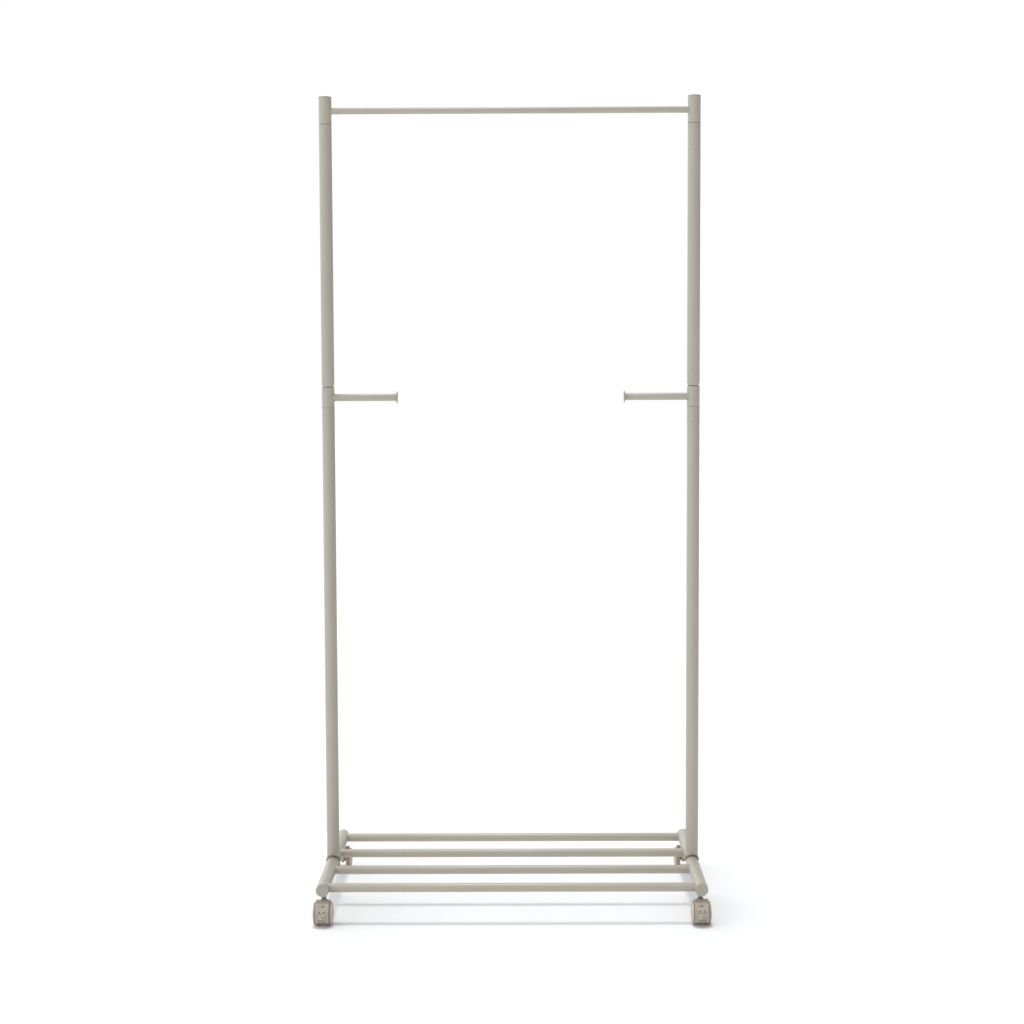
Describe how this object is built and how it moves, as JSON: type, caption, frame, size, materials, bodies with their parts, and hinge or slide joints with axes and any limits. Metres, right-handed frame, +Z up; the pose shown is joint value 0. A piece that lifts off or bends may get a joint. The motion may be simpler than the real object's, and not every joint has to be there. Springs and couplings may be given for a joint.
{
  "type": "rolling clothes rack",
  "caption": "Free-standing tubular clothes rack with a hanging rail, inward bag pegs, an open bar shelf at the base and twin-wheel swivel casters.",
  "frame": {"origin": "on the floor, midway between the two posts and the four casters", "axes": "+Z up; +X to the user's right, along the hanging rail; -Y towards the user, where the braked casters are"},
  "size_m": [0.8548, 0.4697, 1.784],
  "materials": {
    "frame_paint": "satin warm grey powder coat on steel tube",
    "cap_plastic": "moulded plastic in the frame's colour",
    "caster_plastic": "moulded nylon, satin",
    "wheel_plastic": "moulded nylon with a softer tread",
    "pedal_plastic": "moulded nylon, satin",
    "zinc_steel": "zinc plated"
  },
  "bodies": {
    "frame": {"base_bar_1": "frame_paint", "base_bar_2": "frame_paint", "base_bar_3": "frame_paint", "base_bar_4": "frame_paint", "base_bar_inserts": "zinc_steel", "caster_nuts": "zinc_steel", "caster_stems": "zinc_steel", "cross_screws": "zinc_steel", "foot_bolts": "zinc_steel", "foot_inserts": "zinc_steel", "front_left_rail_cap": "cap_plastic", "front_right_rail_cap": "cap_plastic", "hanging_rail": "frame_paint", "hanging_rail_inserts": "zinc_steel", "left_foot_saddle": "cap_plastic", "left_hook_peg": "frame_paint", "left_hook_sleeve": "frame_paint", "left_lower_post": "frame_paint", "left_peg_end_disc": "cap_plastic", "left_post_spigot": "zinc_steel", "left_side_rail": "frame_paint", "left_top_cap": "cap_plastic", "left_top_spigot": "zinc_steel", "left_top_tee": "frame_paint", "left_upper_post": "frame_paint", "peg_inserts": "zinc_steel", "rear_left_rail_cap": "cap_plastic", "rear_right_rail_cap": "cap_plastic", "right_foot_saddle": "cap_plastic", "right_hook_peg": "frame_paint", "right_hook_sleeve": "frame_paint", "right_lower_post": "frame_paint", "right_peg_end_disc": "cap_plastic", "right_post_spigot": "zinc_steel", "right_side_rail": "frame_paint", "right_top_cap": "cap_plastic", "right_top_spigot": "zinc_steel", "right_top_tee": "frame_paint", "right_upper_post": "frame_paint", "stem_clips": "zinc_steel"},
    "front_left_caster": {"front_left_hood": "caster_plastic", "front_left_axle": "zinc_steel", "front_left_brake_pin": "zinc_steel"},
    "front_left_outer_wheel": {"front_left_outer_wheel": "wheel_plastic"},
    "front_left_inner_wheel": {"front_left_inner_wheel": "wheel_plastic"},
    "front_left_brake_pedal": {"front_left_brake_pedal": "pedal_plastic"},
    "front_right_caster": {"front_right_hood": "caster_plastic", "front_right_axle": "zinc_steel", "front_right_brake_pin": "zinc_steel"},
    "front_right_outer_wheel": {"front_right_outer_wheel": "wheel_plastic"},
    "front_right_inner_wheel": {"front_right_inner_wheel": "wheel_plastic"},
    "front_right_brake_pedal": {"front_right_brake_pedal": "pedal_plastic"},
    "rear_left_caster": {"rear_left_hood": "caster_plastic", "rear_left_axle": "zinc_steel"},
    "rear_left_outer_wheel": {"rear_left_outer_wheel": "wheel_plastic"},
    "rear_left_inner_wheel": {"rear_left_inner_wheel": "wheel_plastic"},
    "rear_right_caster": {"rear_right_hood": "caster_plastic", "rear_right_axle": "zinc_steel"},
    "rear_right_outer_wheel": {"rear_right_outer_wheel": "wheel_plastic"},
    "rear_right_inner_wheel": {"rear_right_inner_wheel": "wheel_plastic"}
  },
  "joints": [
    {"name": "front_left_swivel", "type": "hinge", "parent": "frame", "child": "front_left_caster", "pos_m": [-0.405, -0.188, 0.05], "axis": [0, 0, 1], "continuous": true},
    {"name": "front_left_outer_wheel_spin", "type": "hinge", "parent": "front_left_caster", "child": "front_left_outer_wheel", "pos_m": [-0.405, -0.206, 0.025], "axis": [1, 0, 0], "continuous": true},
    {"name": "front_left_inner_wheel_spin", "type": "hinge", "parent": "front_left_caster", "child": "front_left_inner_wheel", "pos_m": [-0.405, -0.206, 0.025], "axis": [1, 0, 0], "continuous": true},
    {"name": "front_left_brake", "type": "hinge", "parent": "front_left_caster", "child": "front_left_brake_pedal", "pos_m": [-0.405, -0.221, 0.029], "axis": [1, 0, 0], "range_deg": [0, 14]},
    {"name": "front_right_swivel", "type": "hinge", "parent": "frame", "child": "front_right_caster", "pos_m": [0.405, -0.188, 0.05], "axis": [0, 0, 1], "continuous": true},
    {"name": "front_right_outer_wheel_spin", "type": "hinge", "parent": "front_right_caster", "child": "front_right_outer_wheel", "pos_m": [0.405, -0.206, 0.025], "axis": [1, 0, 0], "continuous": true},
    {"name": "front_right_inner_wheel_spin", "type": "hinge", "parent": "front_right_caster", "child": "front_right_inner_wheel", "pos_m": [0.405, -0.206, 0.025], "axis": [1, 0, 0], "continuous": true},
    {"name": "front_right_brake", "type": "hinge", "parent": "front_right_caster", "child": "front_right_brake_pedal", "pos_m": [0.405, -0.221, 0.029], "axis": [1, 0, 0], "range_deg": [0, 14]},
    {"name": "rear_left_swivel", "type": "hinge", "parent": "frame", "child": "rear_left_caster", "pos_m": [-0.405, 0.188, 0.05], "axis": [0, 0, 1], "continuous": true},
    {"name": "rear_left_outer_wheel_spin", "type": "hinge", "parent": "rear_left_caster", "child": "rear_left_outer_wheel", "pos_m": [-0.405, 0.206, 0.025], "axis": [1, 0, 0], "continuous": true},
    {"name": "rear_left_inner_wheel_spin", "type": "hinge", "parent": "rear_left_caster", "child": "rear_left_inner_wheel", "pos_m": [-0.405, 0.206, 0.025], "axis": [1, 0, 0], "continuous": true},
    {"name": "rear_right_swivel", "type": "hinge", "parent": "frame", "child": "rear_right_caster", "pos_m": [0.405, 0.188, 0.05], "axis": [0, 0, 1], "continuous": true},
    {"name": "rear_right_outer_wheel_spin", "type": "hinge", "parent": "rear_right_caster", "child": "rear_right_outer_wheel", "pos_m": [0.405, 0.206, 0.025], "axis": [1, 0, 0], "continuous": true},
    {"name": "rear_right_inner_wheel_spin", "type": "hinge", "parent": "rear_right_caster", "child": "rear_right_inner_wheel", "pos_m": [0.405, 0.206, 0.025], "axis": [1, 0, 0], "continuous": true}
  ]
}
